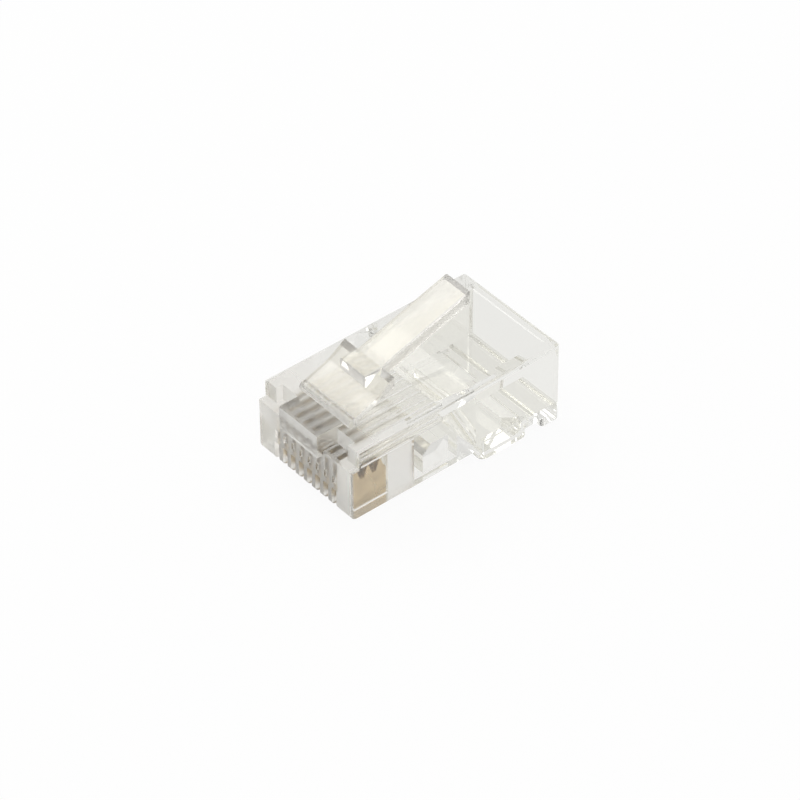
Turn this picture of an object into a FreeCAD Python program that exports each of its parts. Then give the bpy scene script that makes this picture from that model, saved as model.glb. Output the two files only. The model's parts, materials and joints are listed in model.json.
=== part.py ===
import FreeCAD, Part
import os
import Sketcher
from types import SimpleNamespace

# An uncrimped eight-contact modular plug: one clear moulded housing, the moulded latch that
# flexes on it and eight stamped contact blades.
#
# Frame of the document, in millimetres: X runs across the plug, +Y runs from the mating face
# back to the cable entry and +Z points from the contact side to the latch side. Sketches use
# the plug's own datum, with y = 0 on the slotted front face and z = 0 on the flat contact side;
# each sub-part's Placement then moves that datum so that the document's origin is at the
# middle of the bottom of the overall box.

SIZES = {
    # Outer form of the housing
    "plug_width": 11.68,
    "body_length": 21.5,
    "body_top": 6.6,
    "rear_drop": 1.4,
    "step_start": 12.4,
    "step_run": 0.9,
    "step_round": 1.3,
    "front_round": 0.5,
    "rear_round": 0.35,
    "edge_round": 0.2,
    # Upper front: a ledge across the plug, two shoulders and the nose that carries the latch
    "ledge_height": 5.05,
    "ledge_depth": 0.78,
    "shoulder_width": 1.39,
    "recess_back": 1.45,
    "nose_width": 4.7,
    "nose_reach": 0.6,
    "nose_bottom": 4.6,
    "nose_top": 6.85,
    # Cable cavity and the funnel that leads the conductors to their channels
    "side_wall": 0.94,
    "cavity_roof": 5.4,
    "floor_wall": 1.5,
    "cavity_depth": 8.5,
    "roof_bevel": 0.6,
    "funnel_end": 9.8,
    "funnel_margin": 0.12,
    # Conductor channels
    "contact_pitch": 1.02,
    "channel_bore": 0.92,
    "channel_level": 4.45,
    "channel_start": 1.6,
    # Contact slots in the front and the contact side
    "slot_width": 0.45,
    "slot_start": 0.5,
    "slot_end": 4.3,
    "mouth_width": 0.58,
    "mouth_height": 1.9,
    "peep_width": 0.3,
    "peep_bottom": 2.45,
    "peep_top": 3.15,
    # Conductor window with its fold-in bar
    "window_margin": 0.27,
    "window_start": 6.8,
    "window_end": 11.2,
    "bar_start": 7.7,
    "bar_end": 10.3,
    "bar_sink": 0.25,
    "bar_rise": 2.6,
    "bar_bevel": 0.8,
    # Jacket bar in the thick rear of the floor
    "jacket_gap_start": 13.1,
    "jacket_bar_start": 13.9,
    "jacket_bar_end": 18.1,
    "jacket_notch_end": 19.5,
    "notch_rise": 1.0,
    "notch_round": 0.45,
    "jacket_gap_inset": 0.9,
    "jacket_slit_inset": 0.35,
    "jacket_slit": 0.35,
    "jacket_edge_start": 16.1,
    "jacket_edge_height": 1.0,
    # Latch
    "latch_width": 6.1,
    "lever_width": 3.15,
    "hinge_place": 2.45,
    "hinge_level": 6.95,
    "hinge_bead": 0.8,
    "hinge_clearance": 0.03,
    "latch_root_depth": 0.62,
    "ramp_start": 4.95,
    "ramp_level": 8.26,
    "catch_place": 6.65,
    "catch_level": 9.4,
    "catch_under": 8.35,
    "tip_place": 15.75,
    "tip_level": 12.2,
    "tip_depth": 0.95,
    "lever_round": 0.25,
    # Contact blades
    "blade_thickness": 0.35,
    "blade_front": 0.6,
    "blade_back": 4.15,
    "blade_bottom": 0.15,
    "blade_shoulder": 2.9,
    "blade_crown": 0.45,
    "tooth_top": 3.9,
    "tooth_inset": 0.15,
    "tooth_base": 0.85,
    "tooth_tip": 0.16,
}
CONTACTS = 8
TEETH = 3
SHEET = "Sizes"
# How far a cutting profile runs past the face that it opens through.
OVERCUT = 0.5
# The error allowed when an edge is found by the place of its middle.
TOLERANCE = 0.001


class Size:
    """A length that keeps its value together with the spreadsheet formula it comes from."""

    def __init__(self, value, formula):
        self.value = value
        self.formula = formula

    def __add__(self, other):
        other = as_size(other)
        return Size(self.value + other.value, f"({self.formula} + {other.formula})")

    def __sub__(self, other):
        other = as_size(other)
        return Size(self.value - other.value, f"({self.formula} - {other.formula})")

    def __rsub__(self, other):
        return as_size(other) - self

    def __mul__(self, other):
        other = as_size(other)
        return Size(self.value * other.value, f"({self.formula} * {other.formula})")

    def __truediv__(self, other):
        other = as_size(other)
        return Size(self.value / other.value, f"({self.formula} / {other.formula})")

    def __neg__(self):
        return 0 - self

    __radd__ = __add__
    __rmul__ = __mul__


def as_size(number):
    """Turn a plain number into a Size; a Size stays as it is."""
    if isinstance(number, Size):
        return number
    return Size(number, f"{number}")


def bind(item, name, size):
    """Drive one property of an object from the spreadsheet."""
    item.setExpression(name, as_size(size).formula)


def size_sheet(doc):
    """Write the driving sizes into the document's spreadsheet and return them by name."""
    sheet = doc.addObject("Spreadsheet::Sheet", SHEET)
    for row, (name, value) in enumerate(SIZES.items(), start=1):
        sheet.set(f"A{row}", name.replace("_", " "))
        sheet.set(f"B{row}", str(value))
        sheet.setAlias(f"B{row}", name)
    doc.recompute()
    return SimpleNamespace(**{name: Size(value, f"{SHEET}.{name}") for name, value in SIZES.items()})


def new_body(doc, label, z):
    """A body whose Placement carries the plug's datum into the document's frame."""
    body = doc.addObject("PartDesign::Body", label)
    body.Label = label
    bind(body, "Placement.Base.y", (z.nose_reach - z.body_length) / 2)
    bind(body, "Placement.Base.z", z.rear_drop)
    return body


def origin_plane(body, role):
    """One of the body's own origin planes, found by its role."""
    return next(item for item in body.Origin.OriginFeatures if item.Role == role)


def new_sketch(body, name, role, offset):
    """An empty sketch on an origin plane, moved along the plane's normal by offset."""
    sketch = body.newObject("Sketcher::SketchObject", name)
    sketch.AttachmentSupport = [(origin_plane(body, role), "")]
    sketch.MapMode = "FlatFace"
    bind(sketch, "AttachmentOffset.Base.z", offset)
    return sketch


def hold(sketch, kind, item, point, size):
    """Fix one coordinate of a sketch point from the datum, driven by the spreadsheet."""
    size = as_size(size)
    constraint = Sketcher.Constraint(kind, -1, 1, item, point, size.value)
    index = sketch.addConstraint(constraint)
    sketch.setExpression(f"Constraints[{index}]", size.formula)


def outline(body, name, role, corners, offset=0):
    """A closed outline of straight sides whose corners are driven by the spreadsheet."""
    sketch = new_sketch(body, name, role, offset)
    points = [FreeCAD.Vector(as_size(u).value, as_size(v).value, 0) for u, v in corners]
    count = len(points)
    for index in range(count):
        sketch.addGeometry(Part.LineSegment(points[index], points[(index + 1) % count]))
    for index, (u, v) in enumerate(corners):
        sketch.addConstraint(Sketcher.Constraint("Coincident", index, 2, (index + 1) % count, 1))
        hold(sketch, "DistanceX", index, 1, u)
        hold(sketch, "DistanceY", index, 1, v)
    return sketch


def box_outline(body, name, role, low_u, high_u, low_v, high_v, offset=0):
    """A rectangle from its two low and two high edges."""
    corners = [(low_u, low_v), (high_u, low_v), (high_u, high_v), (low_u, high_v)]
    return outline(body, name, role, corners, offset)


def circle_outline(body, name, role, centre, diameter, offset=0):
    """A circle with its centre and diameter driven by the spreadsheet."""
    sketch = new_sketch(body, name, role, offset)
    u, v = (as_size(part) for part in centre)
    middle = FreeCAD.Vector(u.value, v.value, 0)
    sketch.addGeometry(Part.Circle(middle, FreeCAD.Vector(0, 0, 1), diameter.value / 2))
    hold(sketch, "DistanceX", 0, 3, u)
    hold(sketch, "DistanceY", 0, 3, v)
    index = sketch.addConstraint(Sketcher.Constraint("Diameter", 0, diameter.value))
    sketch.setExpression(f"Constraints[{index}]", diameter.formula)
    return sketch


def pad(body, name, sketch, length, side="Symmetric"):
    """Raise a sketch into solid, to both sides of its plane unless told otherwise."""
    feature = body.newObject("PartDesign::Pad", name)
    feature.Profile = sketch
    feature.SideType = side
    bind(feature, "Length", length)
    body.Document.recompute()
    return feature


def pocket(body, name, sketch, length, side="Symmetric", reverse=False):
    """Cut a sketch out of the body and make sure that it removed material."""
    before = body.Shape.Volume
    feature = body.newObject("PartDesign::Pocket", name)
    feature.Profile = sketch
    feature.SideType = side
    feature.Reversed = reverse
    bind(feature, "Length", length)
    body.Document.recompute()
    if not body.Shape.Volume < before:
        raise ValueError(f"{name} removed nothing")
    return feature


def row_of(body, name, feature, z):
    """Repeat a feature across the plug at the contact pitch."""
    row = body.newObject("PartDesign::LinearPattern", name)
    row.Originals = [feature]
    row.Direction = (origin_plane(body, "X_Axis"), [""])
    row.Mode = "Spacing"
    row.Occurrences = CONTACTS
    bind(row, "Offset", z.contact_pitch)
    body.Tip = row
    body.Document.recompute()
    return row


def edges_where(shape, wanted):
    """Names of the straight edges whose middle and direction satisfy a test."""
    names = []
    for number, edge in enumerate(shape.Edges, start=1):
        reach = edge.Vertexes[-1].Point - edge.Vertexes[0].Point
        straight = reach.Length > TOLERANCE and near(reach.Length, edge.Length)
        if straight and wanted(edge.CenterOfMass, reach.normalize()):
            names.append(f"Edge{number}")
    return names


def dress(body, kind, name, edges, size):
    """Round or bevel the named edges of the body's last feature."""
    base = body.Tip
    feature = body.newObject(f"PartDesign::{kind}", name)
    feature.Base = (base, edges)
    bind(feature, "Radius" if kind == "Fillet" else "Size", size)
    body.Document.recompute()
    return feature


def near(value, size):
    """Whether a measured coordinate is the one that a size gives."""
    return abs(value - as_size(size).value) < TOLERANCE


def across(direction):
    """Whether an edge runs straight across the plug."""
    return near(abs(direction.x), 1)


def lengthwise(direction):
    """Whether an edge runs straight from the front to the rear."""
    return near(abs(direction.y), 1)


def upright(direction):
    """Whether an edge runs straight from the contact side to the latch side."""
    return near(abs(direction.z), 1)


def cavity_width(z):
    """Width of the cable cavity between the side walls."""
    return z.plug_width - z.side_wall * 2


def row_width(z):
    """Width over all the conductor channels, side by side."""
    return z.contact_pitch * (CONTACTS - 1) + z.channel_bore


def outer_block(body, z):
    """The side profile of the housing across its full width, with its moulded roundings."""
    corners = [
        (0, 0),
        (z.step_start, 0),
        (z.step_start + z.step_run, -z.rear_drop),
        (z.body_length, -z.rear_drop),
        (z.body_length, z.body_top),
        (z.ledge_depth, z.body_top),
        (z.ledge_depth, z.ledge_height),
        (0, z.ledge_height),
    ]
    pad(body, "Block", outline(body, "BlockOutline", "YZ_Plane", corners), z.plug_width)

    def front_bottom(middle, direction):
        return across(direction) and near(middle.y, 0) and near(middle.z, 0)

    def step_corner(middle, direction):
        return across(direction) and near(middle.y, z.step_start + z.step_run)

    def rear(middle, direction):
        return near(middle.y, z.body_length)

    def side_edge(middle, direction):
        return lengthwise(direction) or (upright(direction) and near(middle.y, 0))

    dress(body, "Fillet", "FrontRound", edges_where(body.Tip.Shape, front_bottom), z.front_round)
    dress(body, "Fillet", "StepRound", edges_where(body.Tip.Shape, step_corner), z.step_round)
    dress(body, "Fillet", "RearRound", edges_where(body.Tip.Shape, rear), z.rear_round)
    dress(body, "Fillet", "EdgeRound", edges_where(body.Tip.Shape, side_edge), z.edge_round)


def upper_front(body, z):
    """The recess between the shoulders and the nose that stands in it and reaches forward."""
    inner = z.plug_width / 2 - z.shoulder_width
    recess = box_outline(
        body, "RecessOutline", "YZ_Plane",
        z.ledge_depth - OVERCUT, z.recess_back, z.ledge_height, z.body_top + OVERCUT,
    )
    pocket(body, "Recess", recess, inner * 2)
    nose = box_outline(
        body, "NoseOutline", "YZ_Plane",
        -z.nose_reach, z.hinge_place, z.nose_bottom, z.nose_top,
    )
    pad(body, "Nose", nose, z.nose_width)
    seat = circle_outline(
        body, "HingeSeatOutline", "YZ_Plane",
        (z.hinge_place, z.hinge_level), z.hinge_bead + z.hinge_clearance * 2,
    )
    pocket(body, "HingeSeat", seat, z.latch_width + z.hinge_clearance * 2)


def cable_way(body, z):
    """The rear cavity for the cable jacket and the funnel to the conductor channels."""
    floor = z.floor_wall - z.rear_drop
    cavity_front = z.body_length - z.cavity_depth
    side = cavity_width(z) / 2
    cavity = box_outline(
        body, "CavityOutline", "XZ_Plane", -side, side, floor, z.cavity_roof, -cavity_front
    )
    pocket(body, "Cavity", cavity, z.cavity_depth + OVERCUT, "One side")

    def roof_corner(middle, direction):
        return lengthwise(direction) and near(abs(middle.x), side) and near(middle.z, z.cavity_roof)

    dress(body, "Chamfer", "RoofBevel", edges_where(body.Tip.Shape, roof_corner), z.roof_bevel)
    wide = box_outline(
        body, "FunnelWide", "XZ_Plane", -side, side, floor, z.cavity_roof, -cavity_front
    )
    reach = row_width(z) / 2 + z.funnel_margin
    narrow = box_outline(
        body, "FunnelNarrow", "XZ_Plane", -reach, reach,
        z.channel_level - z.channel_bore / 2, z.channel_level + z.channel_bore / 2,
        -z.funnel_end,
    )
    funnel = body.newObject("PartDesign::SubtractiveLoft", "Funnel")
    funnel.Profile = wide
    funnel.Sections = [narrow]
    body.Document.recompute()


def contact_row(body, z):
    """Conductor channels, contact slots and their front openings, one of each per contact."""
    first = -z.contact_pitch * (CONTACTS - 1) / 2
    channel = circle_outline(
        body, "ChannelOutline", "XZ_Plane", (first, z.channel_level), z.channel_bore,
        -z.channel_start,
    )
    channel = pocket(body, "Channel", channel, z.funnel_end - z.channel_start + OVERCUT, "One side")
    row_of(body, "Channels", channel, z)
    cuts = [
        ("Slot", z.slot_width, z.slot_start, z.slot_end, -OVERCUT, z.channel_level),
        ("Mouth", z.mouth_width, -OVERCUT, z.slot_start, -OVERCUT, z.mouth_height),
        ("Peep", z.peep_width, -OVERCUT, z.slot_start, z.peep_bottom, z.peep_top),
    ]
    for name, width, low_y, high_y, low_z, high_z in cuts:
        sketch = box_outline(
            body, f"{name}Outline", "YZ_Plane", low_y, high_y, low_z, high_z, first
        )
        row_of(body, f"{name}s", pocket(body, name, sketch, width), z)


def conductor_window(body, z):
    """The window under the conductors and the bar that is folded in against them."""
    side = row_width(z) / 2 + z.window_margin
    window = box_outline(
        body, "WindowOutline", "XY_Plane", -side, side, z.window_start, z.window_end
    )
    pocket(body, "Window", window, z.channel_level, "One side", reverse=True)
    top = z.bar_sink + z.bar_rise
    corners = [
        (z.bar_start, z.bar_sink),
        (z.bar_end, z.bar_sink),
        (z.bar_end, top),
        (z.bar_start + z.bar_bevel, top),
        (z.bar_start, top - z.bar_bevel),
    ]
    pad(body, "ConductorBar", outline(body, "ConductorBarOutline", "YZ_Plane", corners), side * 2)


def jacket_bar(body, z):
    """The bar in the floor that is folded in on the cable jacket: gap, notch, slits and edge."""
    floor = z.floor_wall - z.rear_drop
    gap_side = cavity_width(z) / 2 - z.jacket_gap_inset
    gap = box_outline(
        body, "JacketGapOutline", "XY_Plane",
        -gap_side, gap_side, z.jacket_gap_start, z.jacket_bar_start, -z.rear_drop,
    )
    pocket(body, "JacketGap", gap, z.floor_wall + OVERCUT, "One side", reverse=True)
    notch = box_outline(
        body, "JacketNotchOutline", "YZ_Plane",
        z.jacket_bar_end, z.jacket_notch_end, -z.rear_drop - OVERCUT, z.notch_rise - z.rear_drop,
    )
    pocket(body, "JacketNotch", notch, z.plug_width + OVERCUT)

    def notch_lip(middle, direction):
        place = near(middle.y, z.jacket_bar_end) or near(middle.y, z.jacket_notch_end)
        return across(direction) and place and near(middle.z, -z.rear_drop)

    dress(body, "Fillet", "NotchRound", edges_where(body.Tip.Shape, notch_lip), z.notch_round)
    bar_side = cavity_width(z) / 2 - z.jacket_slit_inset
    for name, side in (("Left", -1), ("Right", 1)):
        middle = bar_side * side
        slit = box_outline(
            body, f"{name}SlitOutline", "XY_Plane",
            middle - z.jacket_slit / 2, middle + z.jacket_slit / 2,
            z.jacket_bar_start, z.jacket_bar_end + OVERCUT, -z.rear_drop,
        )
        pocket(body, f"{name}Slit", slit, z.floor_wall + OVERCUT, "One side", reverse=True)
    corners = [
        (z.jacket_edge_start, floor),
        (z.jacket_bar_end, floor),
        (z.jacket_edge_start, floor + z.jacket_edge_height),
    ]
    edge = outline(body, "JacketEdgeOutline", "YZ_Plane", corners)
    pad(body, "JacketEdge", edge, bar_side * 2 - z.jacket_slit)


def build_housing(doc, z):
    """The one-piece clear moulding."""
    body = new_body(doc, "housing", z)
    outer_block(body, z)
    upper_front(body, z)
    cable_way(body, z)
    contact_row(body, z)
    conductor_window(body, z)
    jacket_bar(body, z)
    return body


def build_latch(doc, z):
    """The latch: a thin plate, a ramp up to two catches, and the lever from the block between."""
    body = new_body(doc, "latch", z)
    lever = [
        (z.ramp_start, z.ramp_level),
        (z.catch_place, z.catch_under),
        (z.tip_place, z.tip_level - z.tip_depth),
        (z.tip_place, z.tip_level),
        (z.catch_place, z.catch_level),
        (z.ramp_start, z.catch_level),
    ]
    pad(body, "Lever", outline(body, "LeverOutline", "YZ_Plane", lever), z.lever_width)

    def lever_edge(middle, direction):
        beside = near(abs(middle.x), z.lever_width / 2)
        level = near(middle.z, z.catch_level)
        rising = near(middle.z, (z.catch_level + z.tip_level) / 2)
        return beside and (level or rising or near(middle.y, z.tip_place))

    edges = edges_where(body.Tip.Shape, lever_edge)
    dress(body, "Fillet", "LeverRound", edges, z.lever_round)
    root_top = z.hinge_level + z.hinge_bead / 2
    plate = [
        (z.hinge_place, root_top - z.latch_root_depth),
        (z.catch_place, z.catch_under),
        (z.catch_place, z.catch_level),
        (z.ramp_start, z.ramp_level),
        (z.hinge_place, root_top),
    ]
    pad(body, "Plate", outline(body, "PlateOutline", "YZ_Plane", plate), z.latch_width)
    bead = circle_outline(
        body, "BeadOutline", "YZ_Plane", (z.hinge_place, z.hinge_level), z.hinge_bead
    )
    pad(body, "Bead", bead, z.latch_width)
    return body


def build_contact(doc, z, number):
    """One stamped blade, with its teeth just below the conductor channel."""
    body = new_body(doc, f"contact_{number}", z)
    bind(body, "Placement.Base.x", z.contact_pitch * (number - (CONTACTS + 1) / 2))
    pitch = (z.blade_back - z.blade_front - z.tooth_inset * 2 - z.tooth_base) / (TEETH - 1)
    corners = [(z.blade_front, z.blade_bottom), (z.blade_back, z.blade_bottom)]
    corners.append((z.blade_back, z.blade_shoulder))
    for tooth in reversed(range(TEETH)):
        start = z.blade_front + z.tooth_inset + pitch * tooth
        shoulder = (z.tooth_base - z.tooth_tip) / 2
        corners.append((start + z.tooth_base, z.blade_shoulder))
        corners.append((start + shoulder + z.tooth_tip, z.tooth_top))
        corners.append((start + shoulder, z.tooth_top))
        corners.append((start, z.blade_shoulder))
    corners.append((z.blade_front, z.blade_shoulder))
    pad(body, "Blade", outline(body, "BladeOutline", "YZ_Plane", corners), z.blade_thickness)

    def crown(middle, direction):
        return across(direction) and near(middle.y, z.blade_front) and near(middle.z, z.blade_bottom)

    dress(body, "Fillet", "Crown", edges_where(body.Tip.Shape, crown), z.blade_crown)
    return body


def check(doc, bodies):
    """Stop on any object that failed and on any sub-part that is not one sound solid."""
    for item in doc.Objects:
        if "Invalid" in item.State or "Error" in item.State:
            raise ValueError(f"{item.Name} failed: {item.State}")
    for body in bodies:
        shape = body.Shape
        if shape.isNull() or not shape.isValid() or len(shape.Solids) != 1:
            raise ValueError(f"{body.Label} is not one sound solid")


def main():
    doc = FreeCAD.newDocument("modular_plug")
    z = size_sheet(doc)
    bodies = [build_housing(doc, z), build_latch(doc, z)]
    bodies += [build_contact(doc, z, number) for number in range(1, CONTACTS + 1)]
    doc.recompute()
    check(doc, bodies)
    os.makedirs("parts", exist_ok=True)
    for body in bodies:
        body.Shape.exportStep(f"parts/{body.Label}.step")
        print(body.Label, round(body.Shape.Volume, 3), body.Shape.BoundBox)


main()
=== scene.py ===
import json
import math

import bmesh
import bpy
from mathutils import Matrix, Vector


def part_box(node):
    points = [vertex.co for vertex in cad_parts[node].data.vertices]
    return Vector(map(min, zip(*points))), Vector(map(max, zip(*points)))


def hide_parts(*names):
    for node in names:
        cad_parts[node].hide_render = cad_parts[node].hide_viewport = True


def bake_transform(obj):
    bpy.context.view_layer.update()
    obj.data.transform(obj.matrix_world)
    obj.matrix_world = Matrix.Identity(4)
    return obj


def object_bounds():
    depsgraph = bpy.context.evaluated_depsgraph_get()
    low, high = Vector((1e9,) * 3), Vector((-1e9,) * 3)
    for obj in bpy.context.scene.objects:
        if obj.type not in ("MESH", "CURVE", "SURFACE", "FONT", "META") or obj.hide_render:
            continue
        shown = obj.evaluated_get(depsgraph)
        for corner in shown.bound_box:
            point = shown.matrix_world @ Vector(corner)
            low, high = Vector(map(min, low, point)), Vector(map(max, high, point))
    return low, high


bl_info = {
    "name": "Clear Modular Plug",
    "version": (1, 0, 0),
    "blender": (4, 5, 0),
    "location": "3D View > Sidebar > Plug",
    "description": "Dresses a modular plug: clear moulding, gold-plated blades and a white table",
    "category": "Object",
}

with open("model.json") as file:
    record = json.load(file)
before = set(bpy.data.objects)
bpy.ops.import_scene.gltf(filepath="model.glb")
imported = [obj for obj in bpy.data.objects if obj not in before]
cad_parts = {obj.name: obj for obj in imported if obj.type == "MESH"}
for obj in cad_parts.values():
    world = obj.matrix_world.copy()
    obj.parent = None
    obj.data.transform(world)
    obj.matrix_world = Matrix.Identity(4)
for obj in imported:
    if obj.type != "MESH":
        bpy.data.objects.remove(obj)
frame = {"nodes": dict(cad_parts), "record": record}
CAD_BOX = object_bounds()
MM = 0.001

CONTACTS = sorted(name for name in frame["nodes"] if name.startswith("contact_"))
HINGE = Vector(frame["record"]["behaviour"]["joints"][0]["pos_m"])

# Faces that turn less than this are one flat region; a wider turn than SHARP_TURN is an edge.
COPLANAR = math.cos(math.radians(1.0))
SHARP_TURN = math.cos(math.radians(40.0))
# A flat region wider than this, in millimetres, is a flat face and not a strip of a rounding.
FLAT_WIDTH = 0.38
# Points closer than this, in millimetres, are one point: in a CAD mesh, then in the fused skin.
MESH_WELD = 0.0005
SKIN_WELD = 0.001

# Direction from the middle of the plug to the softbox, its distance and its width in metres.
SOFTBOX_SIDE = Vector((-0.583, -0.063, 0.811))
SOFTBOX_DISTANCE = 0.45
SOFTBOX_WIDTH = 0.28

# The camera's turn around the plug, its height over the table and its tilt, in degrees.
CAMERA_TURN = (50.58, 40.98, -0.49)
CAMERA_TARGET = Vector((-2.334, 1.175, 2.089)) * MM

# How many clear walls a ray of light may pass through, and how many times it may be reflected.
CLEAR_BOUNCES = 64
GLOSSY_BOUNCES = 32


# ---------------------------------------------------------------- settings


class MouldingSettings(bpy.types.PropertyGroup):
    """Sizes and finish of the one-piece clear moulding."""

    root_radius: bpy.props.FloatProperty(
        name="Hinge root radius",
        description="Radius of the solid root that joins the latch to the nose",
        default=0.46 * MM,
        subtype="DISTANCE",
        unit="LENGTH",
    )
    resin_tint: bpy.props.FloatVectorProperty(
        name="Resin tint",
        description="Colour of light that has passed through the resin",
        default=(0.935, 0.93, 0.895),
        size=3,
        min=0.0,
        max=1.0,
        subtype="COLOR",
    )
    # Lighter and warmer than the resin tint: partly the thin walls of the front and latch, partly
    # painted light that brightens them.
    front_painted_light_tint: bpy.props.FloatVectorProperty(
        name="Front tint",
        description="Colour of light that has passed through the thin walls of the front and latch",
        default=(1.0, 0.98, 0.925),
        size=3,
        min=0.0,
        max=1.0,
        subtype="COLOR",
    )
    resin_index: bpy.props.FloatProperty(
        name="Refractive index",
        description="How strongly the resin bends light",
        default=1.585,
    )
    polish: bpy.props.FloatProperty(
        name="Polish",
        description="Roughness of the polished mould faces",
        default=0.015,
        subtype="FACTOR",
    )
    haze: bpy.props.FloatProperty(
        name="Haze",
        description="Roughness where the mould surface is dull",
        default=0.06,
        subtype="FACTOR",
    )
    front_haze: bpy.props.FloatProperty(
        name="Front haze",
        description="Added roughness of the front, where the channel pins leave the mould face dull",
        default=0.28,
        subtype="FACTOR",
    )
    latch_haze: bpy.props.FloatProperty(
        name="Latch haze",
        description="Added roughness of the latch, which is moulded in a dull part of the mould",
        default=0.16,
        subtype="FACTOR",
    )
    front_fade: bpy.props.FloatProperty(
        name="Front fade",
        description="How far behind the blades the front's dull finish has faded out",
        default=5.0 * MM,
        subtype="DISTANCE",
        unit="LENGTH",
    )
    ripple: bpy.props.FloatProperty(
        name="Ripple height",
        description="Height of the faint flow ripple in the moulded faces",
        default=0.004 * MM,
        subtype="DISTANCE",
        unit="LENGTH",
    )


class BladeSettings(bpy.types.PropertyGroup):
    """Finish of the contact blades."""

    plate_colour: bpy.props.FloatVectorProperty(
        name="Plating",
        description="Colour of the clean gold plating",
        default=(0.85, 0.70, 0.46),
        size=3,
        min=0.0,
        max=1.0,
        subtype="COLOR",
    )
    shade_colour: bpy.props.FloatVectorProperty(
        name="Thin plating",
        description="Colour where the plating is thin",
        default=(0.62, 0.50, 0.34),
        size=3,
        min=0.0,
        max=1.0,
        subtype="COLOR",
    )
    grain: bpy.props.FloatProperty(
        name="Shear mark height",
        description="Height of the fine shear marks of the stamping",
        default=0.006 * MM,
        subtype="DISTANCE",
        unit="LENGTH",
    )


class StageSettings(bpy.types.PropertyGroup):
    """The white table, the light around it and the camera."""

    table_colour: bpy.props.FloatVectorProperty(
        name="Table",
        description="Colour of the table top",
        default=(0.92, 0.92, 0.91),
        size=3,
        min=0.0,
        max=1.0,
        subtype="COLOR",
    )
    table_reach: bpy.props.FloatProperty(
        name="Table reach",
        description="Distance from the plug to each edge of the table",
        default=1.5,
        subtype="DISTANCE",
        unit="LENGTH",
    )
    table_gap: bpy.props.FloatProperty(
        name="Table gap",
        description="Hair's breadth between the plug's underside and the table",
        default=0.02 * MM,
        subtype="DISTANCE",
        unit="LENGTH",
    )
    table_glow: bpy.props.FloatProperty(
        name="Table glow",
        description="Share of plain white in the table as it is seen, the rest being lit table top",
        default=0.94,
        subtype="FACTOR",
    )
    # Painted shade: the plain white of the table is dimmed where it is seen through the resin.
    table_through_shade: bpy.props.FloatProperty(
        name="Table through resin",
        description="Brightness of that plain white where it is seen through the resin",
        default=0.9,
        subtype="FACTOR",
    )
    room_level: bpy.props.FloatProperty(
        name="Room at table level",
        description="Brightness of the surroundings at the level of the table",
        default=0.8,
    )
    room_overhead: bpy.props.FloatProperty(
        name="Room overhead",
        description="Brightness of the room above the plug",
        default=0.76,
    )
    lamp_power: bpy.props.FloatProperty(
        name="Softbox power",
        description="Power of the softbox above the plug",
        default=0.5,
        unit="POWER",
    )
    lens: bpy.props.FloatProperty(
        name="Lens",
        description="Focal length of the camera",
        default=193.2,
        unit="CAMERA",
    )
    distance: bpy.props.FloatProperty(
        name="Camera distance",
        description="Distance from the camera to the point it looks at",
        default=345.0 * MM,
        subtype="DISTANCE",
        unit="LENGTH",
    )


# ------------------------------------------------------------ node helpers


def add_node(tree, kind, **values):
    """Add a shader node and set its named properties."""
    node = tree.nodes.new(kind)
    for name, value in values.items():
        setattr(node, name, value)
    return node


def join(tree, start, end):
    """Link an output socket to an input socket."""
    tree.links.new(start, end)


def combine(tree, operation, one, other):
    """Join two value sockets by a math operation and return the result's socket."""
    node = add_node(tree, "ShaderNodeMath", operation=operation)
    join(tree, one, node.inputs[0])
    join(tree, other, node.inputs[1])
    return node.outputs[0]


def scale_value(tree, value, factor):
    """Multiply a value socket by a number and return the result's socket."""
    node = add_node(tree, "ShaderNodeMath", operation="MULTIPLY")
    node.inputs[1].default_value = factor
    join(tree, value, node.inputs[0])
    return node.outputs[0]


def new_material(name):
    """An empty node material with its output node."""
    material = bpy.data.materials.new(name)
    material.use_nodes = True
    tree = material.node_tree
    tree.nodes.clear()
    return material, tree, add_node(tree, "ShaderNodeOutputMaterial")


def mottle_group():
    """Soft cloudy variation of the surface with a fine ripple on top of it."""
    group = bpy.data.node_groups.new("Moulded mottle", "ShaderNodeTree")
    face = group.interface
    face.new_socket("Cloud scale", in_out="INPUT", socket_type="NodeSocketFloat")
    face.new_socket("Ripple scale", in_out="INPUT", socket_type="NodeSocketFloat")
    face.new_socket("Low", in_out="INPUT", socket_type="NodeSocketFloat")
    face.new_socket("High", in_out="INPUT", socket_type="NodeSocketFloat")
    face.new_socket("Cloud", in_out="OUTPUT", socket_type="NodeSocketFloat")
    face.new_socket("Level", in_out="OUTPUT", socket_type="NodeSocketFloat")
    face.new_socket("Ripple", in_out="OUTPUT", socket_type="NodeSocketFloat")
    inlet = add_node(group, "NodeGroupInput")
    outlet = add_node(group, "NodeGroupOutput")
    place = add_node(group, "ShaderNodeTexCoord")
    cloud = add_node(group, "ShaderNodeTexNoise")
    cloud.inputs["Detail"].default_value = 3.0
    ripple = add_node(group, "ShaderNodeTexNoise")
    ripple.inputs["Detail"].default_value = 1.0
    spread = add_node(group, "ShaderNodeMapRange")
    spread.inputs["From Min"].default_value = 0.35
    spread.inputs["From Max"].default_value = 0.7
    join(group, place.outputs["Object"], cloud.inputs["Vector"])
    join(group, place.outputs["Object"], ripple.inputs["Vector"])
    join(group, inlet.outputs["Cloud scale"], cloud.inputs["Scale"])
    join(group, inlet.outputs["Ripple scale"], ripple.inputs["Scale"])
    join(group, cloud.outputs["Fac"], spread.inputs["Value"])
    join(group, inlet.outputs["Low"], spread.inputs["To Min"])
    join(group, inlet.outputs["High"], spread.inputs["To Max"])
    join(group, cloud.outputs["Fac"], outlet.inputs["Cloud"])
    join(group, spread.outputs["Result"], outlet.inputs["Level"])
    join(group, ripple.outputs["Fac"], outlet.inputs["Ripple"])
    return group


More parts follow.
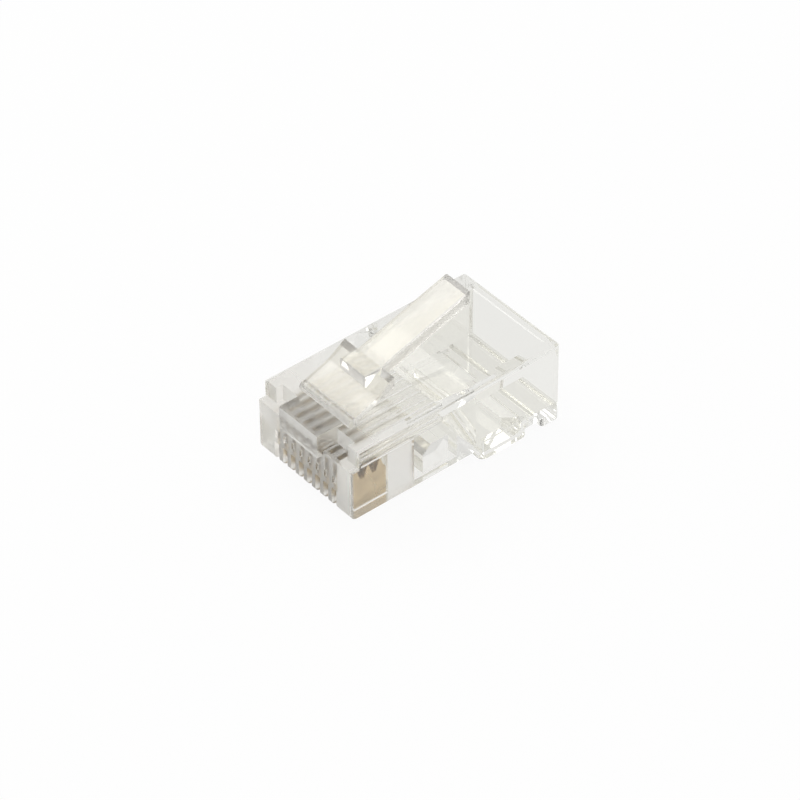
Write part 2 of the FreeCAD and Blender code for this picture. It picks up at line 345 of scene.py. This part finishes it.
def place_mottle(tree, group, cloud_scale, ripple_scale, low, high):
    """Put the shared mottle into a material with that material's own values."""
    node = add_node(tree, "ShaderNodeGroup", node_tree=group)
    node.inputs["Cloud scale"].default_value = cloud_scale
    node.inputs["Ripple scale"].default_value = ripple_scale
    node.inputs["Low"].default_value = low
    node.inputs["High"].default_value = high
    return node


def shared_mottle():
    """The mottle group, built the first time that it is asked for."""
    return bpy.data.node_groups.get("Moulded mottle") or mottle_group()


def zone_group():
    """A mask that fades from 1 to 0 between two places along one coordinate."""
    group = bpy.data.node_groups.new("Zone mask", "ShaderNodeTree")
    face = group.interface
    face.new_socket("Coordinate", in_out="INPUT", socket_type="NodeSocketFloat")
    face.new_socket("Full", in_out="INPUT", socket_type="NodeSocketFloat")
    face.new_socket("None", in_out="INPUT", socket_type="NodeSocketFloat")
    face.new_socket("Mask", in_out="OUTPUT", socket_type="NodeSocketFloat")
    inlet = add_node(group, "NodeGroupInput")
    outlet = add_node(group, "NodeGroupOutput")
    fade = add_node(group, "ShaderNodeMapRange", interpolation_type="SMOOTHSTEP")
    fade.inputs["To Min"].default_value = 1.0
    fade.inputs["To Max"].default_value = 0.0
    join(group, inlet.outputs["Coordinate"], fade.inputs["Value"])
    join(group, inlet.outputs["Full"], fade.inputs["From Min"])
    join(group, inlet.outputs["None"], fade.inputs["From Max"])
    join(group, fade.outputs["Result"], outlet.inputs["Mask"])
    return group


def place_zone(tree, group, coordinate, full, none):
    """Put the zone mask into a material between two places along a coordinate."""
    node = add_node(tree, "ShaderNodeGroup", node_tree=group)
    node.inputs["Full"].default_value = full
    node.inputs["None"].default_value = none
    join(tree, coordinate, node.inputs["Coordinate"])
    return node.outputs["Mask"]


def resin_material(settings):
    """Clear polycarbonate, faintly warm and rippled, with a dull front and latch inside, whose
    lighter, warmer tint is partly the thinness of their walls and partly painted light that
    brightens them.
    """
    material, tree, outlet = new_material("Clear polycarbonate")
    shader = add_node(tree, "ShaderNodeBsdfPrincipled")
    shader.inputs["Transmission Weight"].default_value = 1.0
    shader.inputs["IOR"].default_value = settings.resin_index
    place = add_node(tree, "ShaderNodeTexCoord")
    split = add_node(tree, "ShaderNodeSeparateXYZ")
    aside = add_node(tree, "ShaderNodeMath", operation="ABSOLUTE")
    join(tree, place.outputs["Object"], split.inputs[0])
    join(tree, split.outputs["X"], aside.inputs[0])
    zone = zone_group()
    blade_low, blade_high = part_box("contact_1")
    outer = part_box("housing")[1].x
    front_end = blade_high.y + settings.front_fade
    front = place_zone(tree, zone, split.outputs["Y"], blade_low.y, front_end)
    latch = place_zone(tree, zone, split.outputs["Z"], HINGE.z + 0.2 * MM, HINGE.z - 0.1 * MM)
    inside = place_zone(tree, zone, aside.outputs[0], outer - 0.4 * MM, outer - 0.05 * MM)
    mottle = place_mottle(tree, shared_mottle(), 260.0, 420.0, settings.polish, settings.haze)
    dull_front = scale_value(tree, front, settings.front_haze)
    dull_latch = scale_value(tree, latch, settings.latch_haze)
    dull = combine(tree, "MULTIPLY", combine(tree, "MAXIMUM", dull_front, dull_latch), inside)
    rough = combine(tree, "ADD", dull, mottle.outputs["Level"])
    # The front and latch take the lighter tint: painted light that brightens them, partly standing
    # for their thin walls.
    tint = add_node(tree, "ShaderNodeMix", data_type="RGBA")
    tint.inputs["A"].default_value = (*settings.resin_tint, 1.0)
    tint.inputs["B"].default_value = (*settings.front_painted_light_tint, 1.0)
    bump = add_node(tree, "ShaderNodeBump")
    bump.inputs["Distance"].default_value = settings.ripple
    bump.inputs["Strength"].default_value = 0.5
    join(tree, combine(tree, "MAXIMUM", front, latch), tint.inputs["Factor"])
    join(tree, tint.outputs["Result"], shader.inputs["Base Color"])
    join(tree, rough, shader.inputs["Roughness"])
    join(tree, mottle.outputs["Ripple"], bump.inputs["Height"])
    join(tree, bump.outputs["Normal"], shader.inputs["Normal"])
    join(tree, shader.outputs["BSDF"], outlet.inputs["Surface"])
    return material


def gold_material(settings):
    """Thin gold plating over stamped bronze, darker in soft patches, with fine shear marks."""
    material, tree, outlet = new_material("Gold plating")
    shader = add_node(tree, "ShaderNodeBsdfPrincipled")
    shader.inputs["Metallic"].default_value = 1.0
    mottle = place_mottle(tree, shared_mottle(), 900.0, 5200.0, 0.22, 0.42)
    tone = add_node(tree, "ShaderNodeMix", data_type="RGBA")
    tone.inputs["A"].default_value = (*settings.plate_colour, 1.0)
    tone.inputs["B"].default_value = (*settings.shade_colour, 1.0)
    bump = add_node(tree, "ShaderNodeBump")
    bump.inputs["Distance"].default_value = settings.grain
    join(tree, mottle.outputs["Cloud"], tone.inputs["Factor"])
    join(tree, tone.outputs["Result"], shader.inputs["Base Color"])
    join(tree, mottle.outputs["Level"], shader.inputs["Roughness"])
    join(tree, mottle.outputs["Ripple"], bump.inputs["Height"])
    join(tree, bump.outputs["Normal"], shader.inputs["Normal"])
    join(tree, shader.outputs["BSDF"], outlet.inputs["Surface"])
    return material


# ----------------------------------------------------------------- meshes


def add_object(name, mesh):
    """Link a new object that carries a mesh."""
    piece = bpy.data.objects.new(name, mesh)
    bpy.context.scene.collection.objects.link(piece)
    return piece


def solid_copy(node, name):
    """A closed copy of a CAD node's mesh, in millimetres, as an object of its own."""
    shell = bmesh.new()
    shell.from_mesh(frame["nodes"][node].data)
    bmesh.ops.scale(shell, vec=Vector((1, 1, 1)) / MM, verts=shell.verts)
    bmesh.ops.remove_doubles(shell, verts=shell.verts, dist=MESH_WELD)
    mesh = bpy.data.meshes.new(name)
    shell.to_mesh(mesh)
    shell.free()
    return add_object(name, mesh)


def hinge_root(settings, name):
    """The solid root along the hinge line, as long as the latch is wide, in millimetres."""
    low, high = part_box("latch")
    shell = bmesh.new()
    radius = settings.root_radius / MM
    turn = Matrix.Rotation(math.radians(90), 4, "Y")
    bmesh.ops.create_cone(
        shell, cap_ends=True, segments=32, radius1=radius, radius2=radius,
        depth=(high.x - low.x) / MM, matrix=Matrix.Translation(HINGE / MM) @ turn,
    )
    mesh = bpy.data.meshes.new(name)
    shell.to_mesh(mesh)
    shell.free()
    return add_object(name, mesh)


def fuse(base, others):
    """Join solids into one closed skin and remove the joined objects."""
    for other in others:
        union = base.modifiers.new("Fuse", "BOOLEAN")
        union.operation = "UNION"
        union.solver = "EXACT"
        union.object = other
    view = bpy.context.evaluated_depsgraph_get()
    mesh = bpy.data.meshes.new_from_object(base.evaluated_get(view))
    base.modifiers.clear()
    base.data = mesh
    for other in others:
        bpy.data.objects.remove(other)


def flat_regions(shell):
    """Number the flat regions of a skin and measure how wide each one is, in millimetres."""
    region = {}
    widths = []
    for first in shell.faces:
        if first in region:
            continue
        number = len(widths)
        region[first] = number
        todo = [first]
        area = 0.0
        low = Vector((math.inf,) * 3)
        high = -low
        while todo:
            face = todo.pop()
            area += face.calc_area()
            for corner in face.verts:
                low = Vector(map(min, low, corner.co))
                high = Vector(map(max, high, corner.co))
            for edge in face.edges:
                for other in edge.link_faces:
                    if other not in region and other.normal.dot(first.normal) > COPLANAR:
                        region[other] = number
                        todo.append(other)
        widths.append(area / (high - low).length)
    return region, widths


def crease(shell):
    """Mark where flat meets flat, and every sharp turn, so that only roundings shade smooth."""
    region, widths = flat_regions(shell)
    for edge in shell.edges:
        one, other = edge.link_faces
        turn = one.normal.dot(other.normal)
        flats = min(widths[region[one]], widths[region[other]]) > FLAT_WIDTH
        edge.smooth = turn > COPLANAR if flats else turn > SHARP_TURN


def finish_skin(piece):
    """Clean the fused skin, bring it back to metres and shade flats flat and roundings smooth."""
    shell = bmesh.new()
    shell.from_mesh(piece.data)
    bmesh.ops.remove_doubles(shell, verts=shell.verts, dist=SKIN_WELD)
    bmesh.ops.recalc_face_normals(shell, faces=shell.faces)
    open_edges = sum(1 for edge in shell.edges if not edge.is_manifold)
    if open_edges:
        raise RuntimeError(f"the moulding has {open_edges} open edges")
    crease(shell)
    for face in shell.faces:
        face.smooth = True
    bmesh.ops.scale(shell, vec=Vector((1, 1, 1)) * MM, verts=shell.verts)
    shell.to_mesh(piece.data)
    shell.free()
    weigh = piece.modifiers.new("Flat faces first", "WEIGHTED_NORMAL")
    weigh.mode = "FACE_AREA"
    weigh.weight = 100
    weigh.keep_sharp = True
    view = bpy.context.evaluated_depsgraph_get()
    mesh = bpy.data.meshes.new_from_object(piece.evaluated_get(view))
    piece.modifiers.clear()
    piece.data = mesh


# --------------------------------------------------------------- operators


class PLUG_OT_moulding(bpy.types.Operator):
    """Make the clear moulding in one skin: the housing and the latch on its living hinge"""

    bl_idname = "plug.moulding"
    bl_label = "Clear moulding"

    def execute(self, context):
        settings = context.scene.plug_moulding
        piece = solid_copy("housing", "moulding")
        fuse(piece, [solid_copy("latch", "latch_part"), hinge_root(settings, "root_part")])
        finish_skin(piece)
        piece.data.materials.clear()
        piece.data.materials.append(resin_material(settings))
        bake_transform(piece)
        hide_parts("housing", "latch")
        return {"FINISHED"}


class PLUG_OT_blades(bpy.types.Operator):
    """Give every contact blade its gold plating"""

    bl_idname = "plug.blades"
    bl_label = "Contact blades"

    def execute(self, context):
        material = gold_material(context.scene.plug_blades)
        for name in CONTACTS:
            node = frame["nodes"][name]
            for slot in node.material_slots:
                slot.material = material
        return {"FINISHED"}


def table_material(settings):
    """A white table that stays white behind the plug and keeps its shadow, with painted shade where
    it is seen through the resin.
    """
    material, tree, outlet = new_material("White table")
    mottle = place_mottle(tree, shared_mottle(), 30.0, 600.0, 0.0, 1.0)
    tone = add_node(tree, "ShaderNodeMix", data_type="RGBA")
    tone.inputs["A"].default_value = (*settings.table_colour, 1.0)
    tone.inputs["B"].default_value = (*(part * 0.99 for part in settings.table_colour), 1.0)
    matt = add_node(tree, "ShaderNodeBsdfDiffuse")
    path = add_node(tree, "ShaderNodeLightPath")
    glow = add_node(tree, "ShaderNodeEmission")
    # Painted shade: where the table is seen through the resin, its white glow is dimmed below 1.
    level = add_node(tree, "ShaderNodeMapRange")
    level.inputs["To Min"].default_value = 1.0
    level.inputs["To Max"].default_value = settings.table_through_shade
    straight = combine(tree, "MAXIMUM", path.outputs["Is Camera Ray"], path.outputs["Is Glossy Ray"])
    seen = combine(tree, "MAXIMUM", straight, path.outputs["Is Transmission Ray"])
    share = scale_value(tree, seen, settings.table_glow)
    mix = add_node(tree, "ShaderNodeMixShader")
    join(tree, mottle.outputs["Cloud"], tone.inputs["Factor"])
    join(tree, tone.outputs["Result"], matt.inputs["Color"])
    join(tree, path.outputs["Is Transmission Ray"], level.inputs["Value"])
    join(tree, level.outputs["Result"], glow.inputs["Strength"])
    join(tree, share, mix.inputs["Fac"])
    join(tree, matt.outputs["BSDF"], mix.inputs[1])
    join(tree, glow.outputs["Emission"], mix.inputs[2])
    join(tree, mix.outputs["Shader"], outlet.inputs["Surface"])
    return material


def light_room(settings):
    """A room a little darker overhead than at table level, and white where it is seen."""
    world = bpy.data.worlds.new("Room")
    bpy.context.scene.world = world
    world.use_nodes = True
    tree = world.node_tree
    tree.nodes.clear()
    outlet = add_node(tree, "ShaderNodeOutputWorld")
    glow = add_node(tree, "ShaderNodeBackground")
    glow.inputs["Color"].default_value = (1.0, 1.0, 1.0, 1.0)
    place = add_node(tree, "ShaderNodeTexCoord")
    height = add_node(tree, "ShaderNodeSeparateXYZ")
    level = add_node(tree, "ShaderNodeMapRange", interpolation_type="SMOOTHSTEP")
    level.inputs["From Min"].default_value = 0.05
    level.inputs["From Max"].default_value = 0.45
    level.inputs["To Min"].default_value = settings.room_level
    level.inputs["To Max"].default_value = settings.room_overhead
    path = add_node(tree, "ShaderNodeLightPath")
    join(tree, place.outputs["Generated"], height.inputs[0])
    join(tree, height.outputs["Z"], level.inputs["Value"])
    white = combine(tree, "MAXIMUM", level.outputs["Result"], path.outputs["Is Camera Ray"])
    join(tree, white, glow.inputs["Strength"])
    join(tree, glow.outputs["Background"], outlet.inputs["Surface"])


def add_lamp(name, place, aim, width, power):
    """A square soft lamp that points at a spot."""
    lamp = bpy.data.lights.new(name, "AREA")
    lamp.size = width
    lamp.energy = power
    holder = bpy.data.objects.new(name, lamp)
    bpy.context.scene.collection.objects.link(holder)
    holder.location = place
    holder.rotation_euler = (aim - place).to_track_quat("-Z", "Y").to_euler()


def add_camera(settings):
    """The camera, looking down at the plug's slotted front and its right side."""
    azimuth, elevation, roll = map(math.radians, CAMERA_TURN)
    back = Vector((
        math.sin(azimuth) * math.cos(elevation),
        -math.cos(azimuth) * math.cos(elevation),
        math.sin(elevation),
    ))
    lens = bpy.data.cameras.new("Camera")
    lens.lens = settings.lens
    lens.sensor_width = 36.0
    lens.clip_start = 10.0 * MM
    camera = bpy.data.objects.new("Camera", lens)
    bpy.context.scene.collection.objects.link(camera)
    right = Vector((math.cos(azimuth), math.sin(azimuth), 0.0))
    up = back.cross(right)
    turned = Matrix((right, up, back)).transposed().to_4x4()
    camera.matrix_world = (
        Matrix.Translation(CAMERA_TARGET + back * settings.distance)
        @ turned
        @ Matrix.Rotation(roll, 4, "Z")
    )
    bpy.context.scene.camera = camera


class PLUG_OT_stage(bpy.types.Operator):
    """Lay the white table, light the room and place the camera"""

    bl_idname = "plug.stage"
    bl_label = "Table, light and camera"

    def execute(self, context):
        settings = context.scene.plug_stage
        sheet = bmesh.new()
        bmesh.ops.create_grid(sheet, x_segments=8, y_segments=8, size=settings.table_reach)
        mesh = bpy.data.meshes.new("table")
        sheet.to_mesh(mesh)
        sheet.free()
        table = add_object("table", mesh)
        table.location.z = CAD_BOX[0][2] - settings.table_gap
        table.data.materials.append(table_material(settings))
        light_room(settings)
        middle = Vector((0.0, 0.0, 5.0)) * MM
        softbox = middle + SOFTBOX_SIDE * SOFTBOX_DISTANCE
        add_lamp("Softbox", softbox, middle, SOFTBOX_WIDTH, settings.lamp_power)
        add_camera(settings)
        context.scene.view_settings.view_transform = "Standard"
        context.scene.cycles.max_bounces = CLEAR_BOUNCES
        context.scene.cycles.transmission_bounces = CLEAR_BOUNCES
        context.scene.cycles.glossy_bounces = GLOSSY_BOUNCES
        return {"FINISHED"}


class PLUG_PT_panel(bpy.types.Panel):
    """Lists the steps that dress the plug"""

    bl_idname = "PLUG_PT_panel"
    bl_label = "Modular plug"
    bl_space_type = "VIEW_3D"
    bl_region_type = "UI"
    bl_category = "Plug"

    def draw(self, context):
        for step in STEPS:
            self.layout.operator(step.bl_idname)


STEPS = (PLUG_OT_moulding, PLUG_OT_blades, PLUG_OT_stage)
CLASSES = (MouldingSettings, BladeSettings, StageSettings, *STEPS, PLUG_PT_panel)
SETTINGS = {
    "plug_moulding": MouldingSettings,
    "plug_blades": BladeSettings,
    "plug_stage": StageSettings,
}


def register():
    """Register the classes and hang the settings on the scene."""
    for item in CLASSES:
        bpy.utils.register_class(item)
    for name, group in SETTINGS.items():
        setattr(bpy.types.Scene, name, bpy.props.PointerProperty(type=group))


def unregister():
    """Take the settings off the scene and unregister the classes."""
    for name in SETTINGS:
        delattr(bpy.types.Scene, name)
    for item in reversed(CLASSES):
        bpy.utils.unregister_class(item)


def main():
    """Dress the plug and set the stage."""
    register()
    bpy.ops.plug.moulding()
    bpy.ops.plug.blades()
    bpy.ops.plug.stage()


if __name__ == "__main__":
    main()
